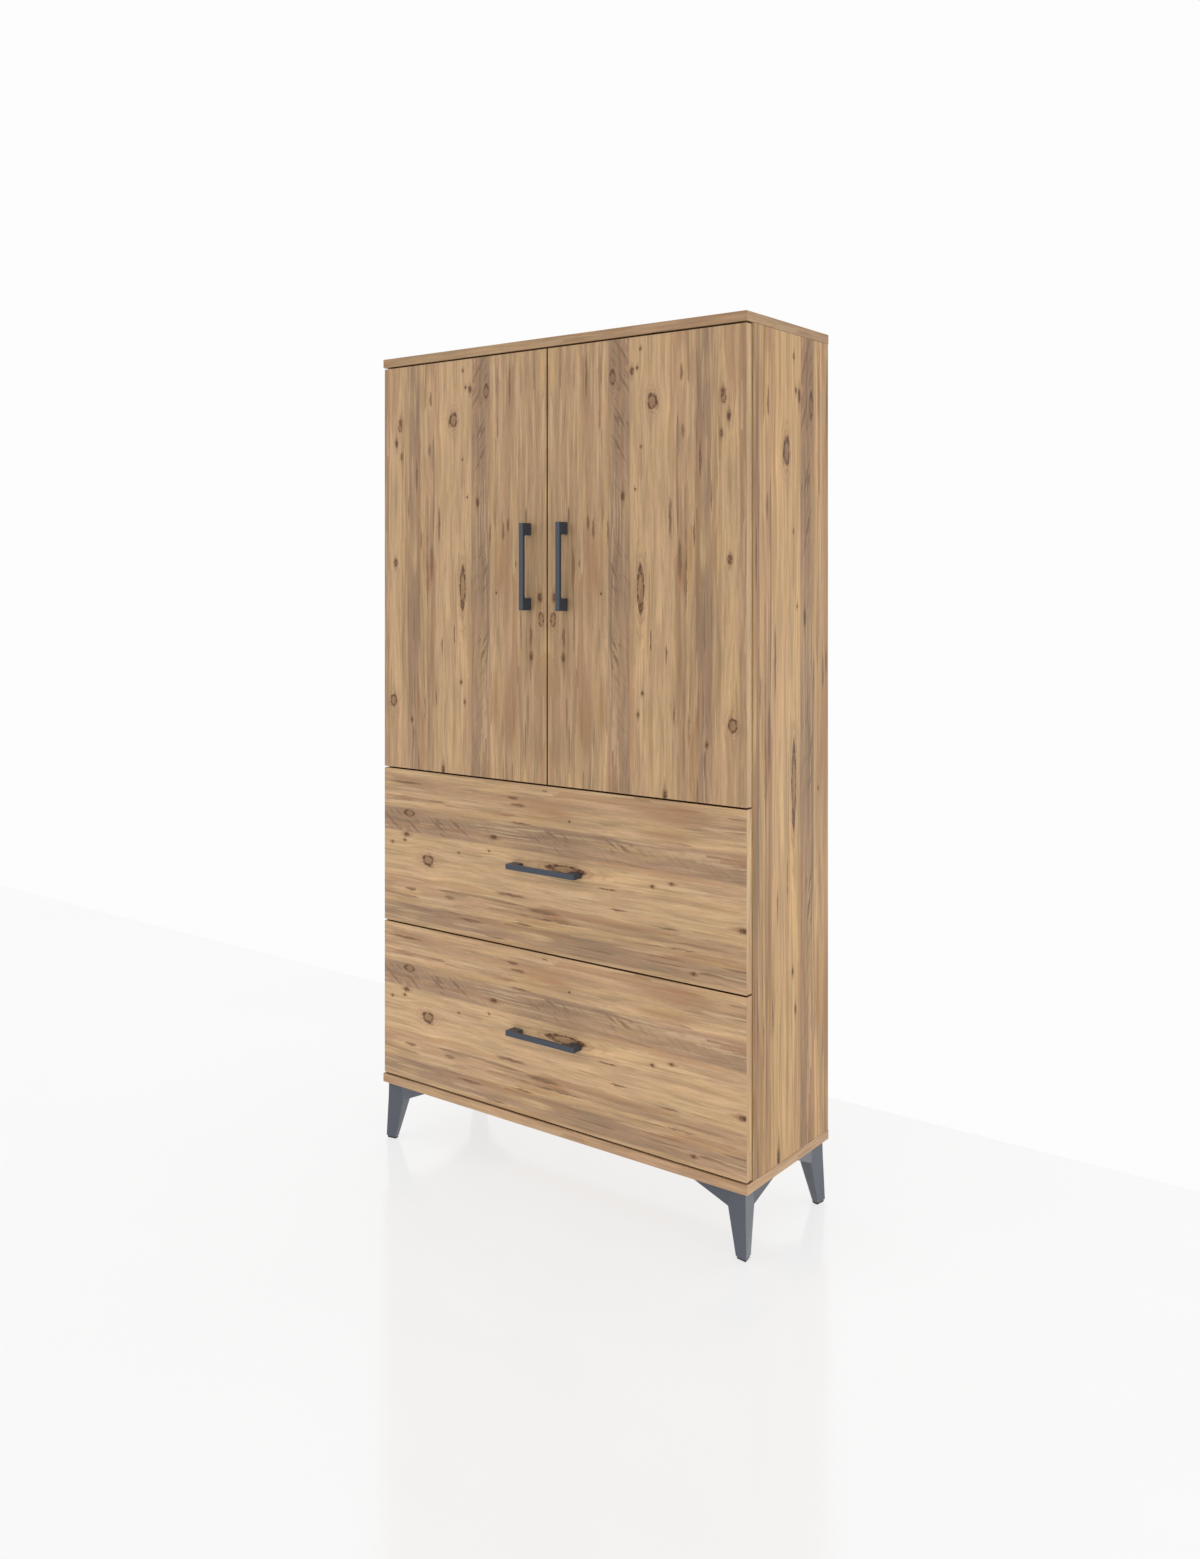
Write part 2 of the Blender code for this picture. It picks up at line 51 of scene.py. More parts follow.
# ---- small helpers -------------------------------------------------------------------
def srgb(red, green, blue):
    """An 8-bit screen colour as linear light."""
    def linear(value):
        value /= 255
        return value / 12.92 if value <= 0.04045 else ((value + 0.055) / 1.055) ** 2.4
    return (linear(red), linear(green), linear(blue), 1.0)


class Graph:
    """Short calls that add shader nodes; each returns the new node's output socket."""

    def __init__(self, tree):
        self.tree = tree

    def add(self, kind, inputs=(), output=0, **settings):
        node = self.tree.nodes.new("ShaderNode" + kind)
        for key, value in settings.items():
            setattr(node, key, value)
        pairs = inputs.items() if isinstance(inputs, dict) else enumerate(inputs)
        for key, value in pairs:
            if isinstance(value, bpy.types.NodeSocket):
                self.tree.links.new(value, node.inputs[key])
            elif value is not None:
                node.inputs[key].default_value = value
        return node.outputs[output]

    def math(self, operation, *values):
        return self.add("Math", values, operation=operation)

    def scaled(self, vector, factors, shift=(0, 0, 0)):
        return self.add("VectorMath", (vector, factors, shift), operation="MULTIPLY_ADD")

    def split(self, vector):
        node = self.tree.nodes.new("ShaderNodeSeparateXYZ")
        self.tree.links.new(vector, node.inputs[0])
        return node.outputs

    def join(self, x=0.0, y=0.0, z=0.0):
        return self.add("CombineXYZ", (x, y, z))

    def noise(self, vector, detail=2.0, roughness=0.5, output=0):
        """Soft noise with features about 1 long: output 0 is a value, 1 a colour."""
        return self.add("TexNoise", {"Vector": vector, "Scale": 1.0, "Detail": detail,
                                     "Roughness": roughness}, output)

    def cells(self, vector):
        """Three random values for each cell of a flat Voronoi pattern."""
        return self.split(self.add("TexVoronoi", {"Vector": vector, "Scale": 1.0}, 1,
                                   voronoi_dimensions="2D"))

    def remap(self, value, low, high, out_low=0.0, out_high=1.0):
        """A smooth step from out_low at low to out_high at high."""
        return self.add("MapRange", (value, low, high, out_low, out_high),
                        interpolation_type="SMOOTHSTEP")

    def ramp(self, value, stops):
        node = self.tree.nodes.new("ShaderNodeValToRGB")
        self.tree.links.new(value, node.inputs[0])
        elements = node.color_ramp.elements
        while len(elements) < len(stops):
            elements.new(0.5)
        for element, (position, colour) in zip(elements, stops):
            element.position = position
            element.color = colour
        return node.outputs[0]

    def mix(self, factor, a, b, blend="MIX"):
        return self.add("Mix", {0: factor, 6: a, 7: b}, 2, data_type="RGBA",
                        blend_type=blend)


# ---- the printed pine decor ----------------------------------------------------------
# Sizes in millimetres on the board: (across, along, half width, half length).
PIN_KNOTS = (
    (226, 23, 3.0, 4.0), (234, 57, 3.0, 3.5), (246, 63, 4.5, 7.5), (225, 204, 2.6, 3.0),
    (239, 281, 2.2, 2.4), (317, 475, 2.0, 2.4), (222, 658, 3.0, 3.4), (232, 699, 3.0, 6.0),
    (82, 743, 3.0, 6.0), (52, 190, 3.4, 7.0), (48, 115, 4.5, 6.5), (267, 293, 4.2, 11.0),
    (34, 413, 5.0, 8.5), (225, 500, 4.5, 10.0), (172, 840, 4.5, 11.0), (190, 125, 3.4, 5.5),
    (408, 600, 4.5, 10.0), (430, 484, 5.5, 10.0), (228, 428, 2.6, 6.0), (36, 160, 4.0, 9.0),
)
RING_KNOTS = (
    (290, 70, 6.5, 14.0), (200, 122, 9.5, 13.5), (28, 705, 9.0, 11.5), (47, 129, 5.5, 8.0),
    (433, 527, 6.0, 14.0), (226, 466, 7.5, 40.0),
)
DARK_STREAKS = (
    (160, 335, 4.2, 46.0), (109, 365, 2.6, 30.0), (140, 415, 5.6, 46.0),
    (126, 450, 3.0, 60.0), (348, 341, 3.4, 16.0), (335, 353, 3.8, 22.0),
    (368, 418, 2.8, 10.0), (394, 325, 2.6, 22.0), (169, 585, 2.6, 24.0),
    (136, 75, 4.4, 18.0), (133, 180, 3.6, 16.0), (72, 300, 2.2, 34.0),
    (203, 560, 2.0, 26.0), (96, 235, 3.0, 40.0), (152, 690, 2.0, 30.0),
    (407, 560, 4.4, 26.0), (301, 360, 2.0, 30.0), (120, 720, 1.8, 36.0),
    (352, 60, 2.6, 50.0),
)
RED_STREAKS = (
    (119, 400, 5.5, 66.0), (135, 440, 10.0, 60.0), (313, 300, 6.0, 44.0),
    (316, 690, 12.0, 66.0), (328, 415, 20.0, 90.0), (95, 470, 4.0, 50.0),
    (355, 700, 20.0, 90.0),
)
GREY_PATCHES = (
    (276, 170, 17.0, 70.0), (282, 60, 20.0, 60.0), (90, 160, 13.0, 130.0),
    (80, 570, 24.0, 110.0), (276, 480, 22.0, 110.0), (268, 650, 18.0, 90.0),
    (425, 770, 18.0, 44.0), (355, 60, 6.0, 120.0), (84, 300, 9.0, 90.0),
)
# Where the slanting strokes are strongest.
PLUMES = ((276, 60, 34, 62), (272, 172, 26, 60), (280, 430, 22, 46), (284, 590, 20, 40))
# The four tones of the staves, as screen colours.
PALE = (186, 154, 119)
TAN = (177, 145, 111)
DULL = (168, 136, 106)
DUSK = (155, 126, 101)
# Staves glued side by side: (where it starts, tone on that side, tone on the far side).
STAVES = (
    (0, DULL, DULL), (15, PALE, PALE), (50, TAN, TAN), (70, DUSK, DUSK), (105, TAN, TAN),
    (125, DULL, DULL), (145, PALE, PALE), (200, TAN, TAN), (210, PALE, PALE),
    (250, DUSK, DUSK), (300, PALE, DULL), (345, DULL, TAN), (375, DULL, TAN),
    (395, DULL, TAN),
)
STAVE_JOINT = 2.0
# How busy the figure is across the board, as (across, level).
STAVE_FIGURE = (
    (0, 0.7), (18, 0.4), (56, 0.5), (74, 0.9), (104, 1.0), (143, 1.0), (152, 0.35),
    (200, 0.45), (245, 0.40), (252, 0.70), (300, 0.80), (345, 0.80), (400, 0.9), (446, 0.6),
)
DECOR_WIDTH = 446.0
CLEAR_OF_KNOTS = 4000.0    # along the grain, well past the last knot
SLANTED_STAVE = (250, 258, 290, 300)   # fades in over the first pair, out over the last
# How much larger than life the decor is printed on a board, and where it starts there.
DRAWER_STRETCH = (1.03, 1.058)
DRAWER_TOP_AT = 378.0
SIDE_STRETCH = (1.04, 1.78)
SIDE_FRONT_AT = 86.0
SIDE_CONTRAST = 1.25
BACK_DENSITY = 430.0       # millimetres of decor to a metre, on the back sheets
BACK_MIDDLE_AT = 213.5
PANEL_STARTS = {"top_panel": 20, "bottom_panel": 120, "divider_shelf": 60,
                "shelf_lower": 130, "shelf_upper": 30}
BOX_BOARD_AT = 20.0        # across the decor, on drawer boxes and back sheets
BOX_BASE_AT = 110.0
BOX_SIDE_ALONG, BOX_BASE_ALONG, BOX_BACK_ALONG = 300.0, 450.0, 480.0
# Where the boards' edges lie across the decor.
DOOR_EDGE_AT, DRAWER_EDGE_AT, SIDE_EDGE_AT, PANEL_EDGE_AT = 150.0, 170.0, 160.0, 155.0
# drawer fronts: colour balance plus painted light; the lower drawer is brightened most and
# the upper less, both above the doors, as if lit more from the floor
DRAWER_TINTS_WITH_PAINTED_LIGHT = {"lower": (1.13, 1.125, 1.065), "upper": (1.062, 1.058, 0.992)}
FRONT_TINT = (0.972, 0.957, 0.880)
SIDE_TINT = (1.21, 1.27, 1.17)
PANEL_TINT = (1.05, 1.03, 0.99)
PANEL_TINTS = {"top_panel": (0.77, 0.73, 0.67), "bottom_panel": (0.98, 0.94, 0.91)}
# painted shade: a dark brown multiplied into board edges that only face a narrow gap,
# standing in for the gap's shadow
GAP_PAINTED_SHADE = (0.37, 0.28, 0.17, 1.0)
EDGE_WEAR = srgb(176, 146, 114)
KNOT_CORE = srgb(84, 54, 34)
KNOT_HALO = srgb(132, 96, 66)
STREAK_BROWN = srgb(106, 74, 50)
RED_BROWN = srgb(150, 106, 72)
GREY_BROWN = srgb(136, 109, 88)
STROKE_BROWN = srgb(118, 91, 72)
HONEY = srgb(198, 165, 118)
ROSE_TAN = srgb(190, 152, 124)
PALE_LINE = srgb(206, 177, 143)


def nearest(g, place, spots):
    """Distance to the nearest spot, counted in that spot's own half sizes."""
    found = None
    for across, along, half_width, half_length in spots:
        factors = (1 / half_width, 1 / half_length, 0)
        shift = (-across / half_width, -along / half_length, 0)
        away = g.add("VectorMath", (g.scaled(place, factors, shift),), 1,
                     operation="LENGTH")
        found = away if found is None else g.math("MINIMUM", found, away)
    return found


def bend_round_knots(g, place, spots, push=0.45, reach=2.6):
    """Across-grain shift that squeezes the figure towards each knot, so it flows round."""
    total = None
    for across, along, half_width, half_length in spots:
        factors = (1 / (reach * half_width), 1 / (reach * half_length), 0)
        shift = tuple(-c * f for c, f in zip((across, along, 0), factors))
        local = g.scaled(place, factors, shift)
        fall = g.math("EXPONENT", g.math("MULTIPLY", g.add(
            "VectorMath", (local, local), 1, operation="DOT_PRODUCT"), -1.0))
        step = g.math("MULTIPLY", g.split(local)[0], fall)
        step = g.math("MULTIPLY", step, -push * reach * half_width)
        total = step if total is None else g.math("ADD", total, step)
    return total


def make_decor():
    tree = bpy.data.node_groups.new("pine_decor", "ShaderNodeTree")
    tree.interface.new_socket("Place", in_out="INPUT", socket_type="NodeSocketVector")
    tree.interface.new_socket("Colour", in_out="OUTPUT", socket_type="NodeSocketColor")
    tree.interface.new_socket("Roughness", in_out="OUTPUT", socket_type="NodeSocketFloat")
    tree.interface.new_socket("Height", in_out="OUTPUT", socket_type="NodeSocketFloat")
    g = Graph(tree)
    place = tree.nodes.new("NodeGroupInput").outputs[0]

    # wander of the grain, broad and fine
    broad = g.split(g.noise(g.scaled(place, (1 / 70, 1 / 380, 1)), 2.0, 0.5, 1))
    fine = g.split(g.noise(g.scaled(place, (1 / 4.5, 1 / 16, 1)), 3.0, 0.65, 1))
    wander = g.math("MULTIPLY_ADD", broad[0], 12.0, -6.0)
    ragged = g.math("MULTIPLY_ADD", fine[0], 7.0, -3.5)
    ragged_along = g.math("MULTIPLY_ADD", fine[1], 14.0, -7.0)
    spot_place = g.add("VectorMath", (place, g.join(ragged, ragged_along)), operation="ADD")
    bend = bend_round_knots(g, place, RING_KNOTS + PIN_KNOTS[11:15])
    grain = g.add("VectorMath", (place, g.join(g.math("ADD", wander, bend))),
                  operation="ADD")
    joint = g.math("MULTIPLY_ADD", fine[0], 1.4, g.math("MULTIPLY", wander, 0.25))
    across = g.split(g.add("VectorMath", (place, g.join(joint)), operation="ADD"))[0]

    # stave tones, drifting towards honey and rose
    stops = []
    ends = [start for start, near, far in STAVES[1:]] + [DECOR_WIDTH]
    for (start, near, far), end in zip(STAVES, ends):
        stops.append(((start + STAVE_JOINT) / DECOR_WIDTH, srgb(*near)))
        stops.append((end / DECOR_WIDTH, srgb(*far)))
    colour = g.ramp(g.math("DIVIDE", across, DECOR_WIDTH), stops)
    drift = g.split(g.noise(g.scaled(grain, (1 / 26, 1 / 240, 1), (3, 8, 0)), 2.0, 0.55, 1))
    colour = g.mix(g.remap(drift[0], 0.50, 0.68, 0.0, 0.40), colour, HONEY)
    colour = g.mix(g.remap(drift[1], 0.50, 0.68, 0.0, 0.40), colour, ROSE_TAN)

    # lengthwise figure: soft noise, and long tapering fibres with crisp edges
    blotch = g.noise(g.scaled(grain, (1 / 26, 1 / 180, 1)), 3.0, 0.6)
    figure = g.noise(g.scaled(grain, (1 / 10, 1 / 210, 1), (7, 3, 0)), 3.0, 0.65)
    lines = g.noise(g.scaled(grain, (1 / 3.2, 1 / 78, 1), (31, 17, 0)), 3.0, 0.65)
    pores = g.noise(g.scaled(grain, (1 / 0.8, 1 / 16, 1), (5, 90, 0)), 2.0, 0.6)
    fibre_place = g.add("VectorMath", (grain, g.join(g.math("MULTIPLY", ragged, 0.32))),
                        operation="ADD")
    wide = g.cells(g.scaled(fibre_place, (1 / 12, 1 / 250, 0)))
    narrow = g.cells(g.scaled(fibre_place, (1 / 3.8, 1 / 82, 0), (40, 9, 0)))
    lively = g.ramp(g.math("DIVIDE", across, DECOR_WIDTH), [
        (u / DECOR_WIDTH, (level, level, level, 1)) for u, level in STAVE_FIGURE])
    shade = g.remap(blotch, 0.30, 0.70, 0.93, 1.06)
    shade = g.math("MULTIPLY", shade, g.remap(figure, 0.32, 0.68, 0.88, 1.10))
    shade = g.math("MULTIPLY", shade, g.remap(lines, 0.34, 0.66, 0.88, 1.11))
    shade = g.math("MULTIPLY", shade, g.remap(pores, 0.30, 0.70, 0.95, 1.05))
    shade = g.math("MULTIPLY", shade, g.math("MULTIPLY_ADD", wide[0], 0.13, 0.935))
    fleck = g.math("MULTIPLY", g.math("MULTIPLY_ADD", narrow[0], 0.16, -0.08), lively)
    shade = g.math("MULTIPLY", shade, g.math("ADD", fleck, 1.0))
    colour = g.mix(1.0, colour, g.join(shade, shade, shade), "MULTIPLY")

    # late-wood lines, dark and reddish fibres, and a few pale lines
    late = g.remap(figure, 0.52, 0.70)
    late = g.math("MULTIPLY", g.math("MULTIPLY", late, g.remap(lines, 0.45, 0.62)), lively)
    colour = g.mix(g.math("MULTIPLY", late, 0.55), colour, RED_BROWN)
    thick = g.math("MULTIPLY", g.remap(blotch, 0.42, 0.60, 0.35, 1.0), lively)
    fibres = g.math("MULTIPLY", g.remap(narrow[2], 0.90, 0.93), thick)
    fibres = g.math("MULTIPLY", fibres, g.remap(lines, 0.40, 0.58, 0.25, 0.75))
    colour = g.mix(fibres, colour, STREAK_BROWN)
    warm = g.math("MULTIPLY", g.remap(wide[2], 0.84, 0.90, 0.0, 0.40),
                  g.remap(lines, 0.36, 0.58, 0.30, 1.0))
    colour = g.mix(warm, colour, RED_BROWN)
    colour = g.mix(g.remap(narrow[1], 0.88, 0.95, 0.0, 0.40), colour, PALE_LINE)

    # broad grey-brown and reddish patches
    grey = g.remap(nearest(g, spot_place, GREY_PATCHES), 0.15, 1.45, 1.0, 0.0)
    grey = g.math("MULTIPLY", grey, g.remap(lines, 0.38, 0.58, 0.35, 1.0))
    colour = g.mix(g.math("MULTIPLY", grey, 0.45), colour, GREY_BROWN)
    red = g.remap(nearest(g, spot_place, RED_STREAKS), 0.30, 1.20, 1.0, 0.0)
    red = g.math("MULTIPLY", red, g.remap(lines, 0.38, 0.60, 0.30, 1.0))
    colour = g.mix(g.math("MULTIPLY", red, 0.60), colour, RED_BROWN)

    # feathery slanting strokes in the grey-brown stave
    slant = g.split(place)
    slant_u = g.math("MULTIPLY_ADD", slant[1], 0.55, g.math("MULTIPLY", slant[0], 0.85))
    slant_v = g.math("MULTIPLY_ADD", slant[0], -0.55, g.math("MULTIPLY", slant[1], 0.85))
    strokes = g.noise(g.scaled(g.join(slant_u, slant_v), (1 / 7, 1 / 46, 0), (9, 2, 0)),
                      3.0, 0.62)
    fade_in, full, fading, gone = SLANTED_STAVE
    stave = g.math("MULTIPLY", g.remap(across, fade_in, full),
                   g.remap(across, fading, gone, 1, 0))
    plume = g.remap(nearest(g, place, PLUMES), 0.5, 1.3, 0.80, 0.22)
    strokes = g.math("MULTIPLY", g.remap(strokes, 0.50, 0.62), stave)
    colour = g.mix(g.math("MULTIPLY", strokes, plume), colour, STROKE_BROWN)

    # dark streaks, broken up by the fibre lines
    streak = g.remap(nearest(g, spot_place, DARK_STREAKS), 0.45, 1.10, 1.0, 0.0)
    streak = g.math("MULTIPLY", streak, g.remap(lines, 0.36, 0.56, 0.45, 1.0))
    colour = g.mix(g.math("MULTIPLY", streak, 0.88), colour, STREAK_BROWN)

    # knots: a soft halo drawn out along the grain, then a dark heart
    pin = nearest(g, spot_place, PIN_KNOTS)
    tails = [(u, v, 1.3 * w, 3.0 * h) for u, v, w, h in PIN_KNOTS]
    tail = g.remap(nearest(g, spot_place, tails), 0.3, 1.1, 0.55, 0.0)
    halo = g.math("MAXIMUM", tail, g.remap(pin, 0.8, 1.9, 0.70, 0.0))
    colour = g.mix(halo, colour, KNOT_HALO)
    pits = g.noise(g.scaled(place, (1 / 4, 1 / 6, 1), (20, 60, 0)), 2.0, 0.6)
    heart = g.math("MULTIPLY", g.remap(pin, 0.55, 1.10, 0.94, 0.0),
                   g.remap(pits, 0.38, 0.54, 0.25, 1.0))
    colour = g.mix(heart, colour, KNOT_CORE)

    # ring knots: brown heart, broken dark ring, growth lines dying away outside
    ring = nearest(g, spot_place, RING_KNOTS)
    inside = g.remap(ring, 0.80, 1.40, 0.62, 0.0)
    colour = g.mix(inside, colour, KNOT_HALO)
    band = g.math("MULTIPLY", g.remap(ring, 0.56, 0.78), g.remap(ring, 0.98, 1.30, 1.0, 0.0))
    chips = g.noise(g.scaled(place, (1 / 7, 1 / 9, 1), (50, 20, 0)), 2.0, 0.6)
    band = g.math("MULTIPLY", band, g.remap(chips, 0.42, 0.54, 0.25, 1.0))
    colour = g.mix(band, colour, KNOT_CORE)
    growth = g.math("SINE", g.math("MULTIPLY", ring, 9.0))
    growth = g.math("MULTIPLY", g.remap(growth, 0.0, 1.0), g.remap(ring, 1.2, 3.4, 0.42, 0))
    colour = g.mix(g.math("MULTIPLY", growth, g.remap(fine[0], 0.40, 0.55)), colour,
                   KNOT_HALO)

    dark = g.math("MAXIMUM", heart, g.math("MAXIMUM", band, streak))
    rough = g.math("MULTIPLY_ADD", lines, 0.14, 0.44)
    rough = g.math("MULTIPLY_ADD", dark, -0.06, rough)
    height = g.math("MULTIPLY_ADD", lines, 0.55, g.math("MULTIPLY", pores, 0.45))
    height = g.math("MULTIPLY_ADD", dark, -0.35, height)
    end = tree.nodes.new("NodeGroupOutput")
    for number, socket in enumerate((colour, rough, height)):
        tree.links.new(socket, end.inputs[number])
    return tree


DECOR = make_decor()
FACING = 0.6               # how squarely a normal points along an axis to count as facing it


# ---- materials -----------------------------------------------------------------------
def new_material(name):
    material = bpy.data.materials.new(name)
    material.use_nodes = True
    tree = material.node_tree
    return material, Graph(tree), tree.nodes["Principled BSDF"]


def wire(g, shader, colour=None, rough=None, height=None, bump=0.2, distance=0.0002):
    links = g.tree.links
    if colour is not None:
        links.new(colour, shader.inputs["Base Color"])
    if rough is not None:
        links.new(rough, shader.inputs["Roughness"])
    if height is not None:
        normal = g.add("Bump", {"Strength": bump, "Distance": distance, "Height": height})
        links.new(normal, shader.inputs["Normal"])


def corner_mask(g, normal):
    """1 on rounded edges, 0 on the flat faces that lie square to the axes."""
    size = g.split(g.add("VectorMath", (normal,), operation="ABSOLUTE"))
    largest = g.math("MAXIMUM", size[0], g.math("MAXIMUM", size[1], size[2]))
    return g.remap(largest, 0.90, 0.995, 1.0, 0.0)


def pine(name, thick, across, along, u, v, edge_u, tint=FRONT_TINT,
         raw_back=None, shaded_gap_edges=(), contrast=1.0):
    """A decor board. thick, across and along are its axes; u and v are (scale, offset) in
    millimetres of decor per metre of board. Edges carry the decor along their own length.
    The (axis, sign) edges given for gaps only face a narrow gap and get painted shade, a
    dark brown multiplied in for the gap's shadow; raw_back is the (axis, sign) of a face
    left as bare fibre board."""
    material, g, shader = new_material(name)
    coords = g.tree.nodes.new("ShaderNodeTexCoord").outputs
    place = g.split(coords["Object"])
    size = g.split(g.add("VectorMath", (coords["Normal"],), operation="ABSOLUTE"))
    on_face = g.math("GREATER_THAN", size[thick], FACING)
    on_end = g.math("GREATER_THAN", size[along], FACING)
    face_u = g.math("MULTIPLY_ADD", place[across], u[0], u[1])
    rim_u = g.math("MULTIPLY_ADD", place[thick], PER_METRE, edge_u)
    face_v = g.math("MULTIPLY_ADD", place[along], v[0], v[1])
    rim_v = g.math("MULTIPLY_ADD", place[along], PER_METRE, CLEAR_OF_KNOTS)
    side_v = g.add("Mix", {0: on_face, 2: rim_v, 3: face_v})
    end_v = g.math("MULTIPLY_ADD", place[across], PER_METRE, CLEAR_OF_KNOTS)
    where = g.join(g.add("Mix", {0: on_face, 2: rim_u, 3: face_u}),
                   g.add("Mix", {0: on_end, 2: side_v, 3: end_v}))
    decor = g.tree.nodes.new("ShaderNodeGroup")
    decor.node_tree = DECOR
    g.tree.links.new(where, decor.inputs[0])
    colour = decor.outputs[0]
    if contrast != 1.0:
        colour = g.add("Gamma", (colour, contrast))
    colour = g.mix(1.0, colour, (*tint, 1.0), "MULTIPLY")
    # painted shade: each edge that only faces a narrow gap is multiplied darker, as the
    # gap's shadow
    for axis, sign in shaded_gap_edges:
        toward = g.math("MULTIPLY", g.split(coords["Normal"])[axis], sign)
        in_gap_shade = g.math("GREATER_THAN", toward, FACING)
        colour = g.mix(in_gap_shade, colour, GAP_PAINTED_SHADE, "MULTIPLY")
    worn = corner_mask(g, coords["Normal"])
    scuff = g.noise(g.scaled(coords["Object"], (90, 90, 90)), 3.0, 0.6)
    worn = g.math("MULTIPLY", worn, g.remap(scuff, 0.35, 0.7, 0.05, 0.30))
    colour = g.mix(worn, colour, EDGE_WEAR)
    if raw_back:
        fibre = raw_fibre(g, coords["Object"])
        axis, sign = raw_back
        toward = g.math("MULTIPLY", g.split(coords["Normal"])[axis], sign)
        behind = g.math("GREATER_THAN", toward, FACING)
        colour = g.mix(behind, colour, fibre)
    wire(g, shader, colour, decor.outputs[1], decor.outputs[2], 0.18, 0.00025)
    shader.inputs["Specular IOR Level"].default_value = 0.32
    return material


def raw_fibre(g, place):
    """Colour of bare pressed fibre board."""
    specks = g.noise(g.scaled(place, (900, 900, 900)), 3.0, 0.75)
    flakes = g.noise(g.scaled(place, (190, 190, 190)), 4.0, 0.7)
    cloud = g.noise(g.scaled(place, (7, 7, 7)), 2.0, 0.5)
    mixed = g.math("MULTIPLY_ADD", cloud, 0.13, g.math("MULTIPLY", specks, 0.40))
    mixed = g.math("MULTIPLY_ADD", flakes, 0.47, mixed)
    return g.ramp(mixed, ((0.36, srgb(106, 77, 52)), (0.50, srgb(141, 107, 75)),
                          (0.64, srgb(162, 128, 93))))


def paint(name, base, edge, rough, speckle=1400.0, spread=0.10, bump=0.12, coat=0.0,
          specular=0.5, grain=(1, 1, 1)):
    """Powder coat or moulded plastic: fine texture, faint clouding, rubbed edges."""
    material, g, shader = new_material(name)
    coords = g.tree.nodes.new("ShaderNodeTexCoord").outputs
    place = g.scaled(coords["Object"], grain)
    fine = g.noise(g.scaled(place, (speckle,) * 3), 2.0, 0.6)
    cloud = g.noise(g.scaled(place, (22, 22, 22)), 3.0, 0.55)
    tone = g.math("MULTIPLY_ADD", cloud, spread, 1 - spread / 2)
    tone = g.math("MULTIPLY", tone, g.math("MULTIPLY_ADD", fine, spread, 1 - spread / 2))
    colour = g.mix(1.0, base, g.join(tone, tone, tone), "MULTIPLY")
    rub = g.math("MULTIPLY", corner_mask(g, coords["Normal"]),
                 g.remap(cloud, 0.35, 0.65, 0.25, 0.8))
    colour = g.mix(rub, colour, edge)
    roughness = g.math("MULTIPLY_ADD", fine, 0.12, rough - 0.06)
    wire(g, shader, colour, roughness, fine, bump, 0.00008)
    shader.inputs["Specular IOR Level"].default_value = specular
    shader.inputs["Coat Weight"].default_value = coat
    shader.inputs["Coat Roughness"].default_value = 0.35
    return material


def metal(name, base, rough, stretch=(60, 60, 900), bump=0.10):
    """Plated or bare steel with a fine directional finish and small stains."""
    material, g, shader = new_material(name)
    place = g.tree.nodes.new("ShaderNodeTexCoord").outputs["Object"]
    brushed = g.noise(g.scaled(place, stretch), 3.0, 0.6)
    stain = g.noise(g.scaled(place, (45, 45, 45)), 4.0, 0.65)
    tone = g.math("MULTIPLY_ADD", brushed, 0.22, 0.80)
    tone = g.math("MULTIPLY", tone, g.remap(stain, 0.30, 0.62, 0.86, 1.02))
    colour = g.mix(1.0, base, g.join(tone, tone, tone), "MULTIPLY")
    roughness = g.math("MULTIPLY_ADD", stain, 0.22, rough - 0.11)
    wire(g, shader, colour, roughness, brushed, bump, 0.00005)
    shader.inputs["Metallic"].default_value = 1.0
    return material


def along_from_top(top, stretch=1.0):
    return (-PER_METRE / stretch, top * PER_METRE / stretch)


def from_low(low, start=0.0):
    """One millimetre of decor to a millimetre of board, starting at its low end."""
    return (PER_METRE, start - low * PER_METRE)


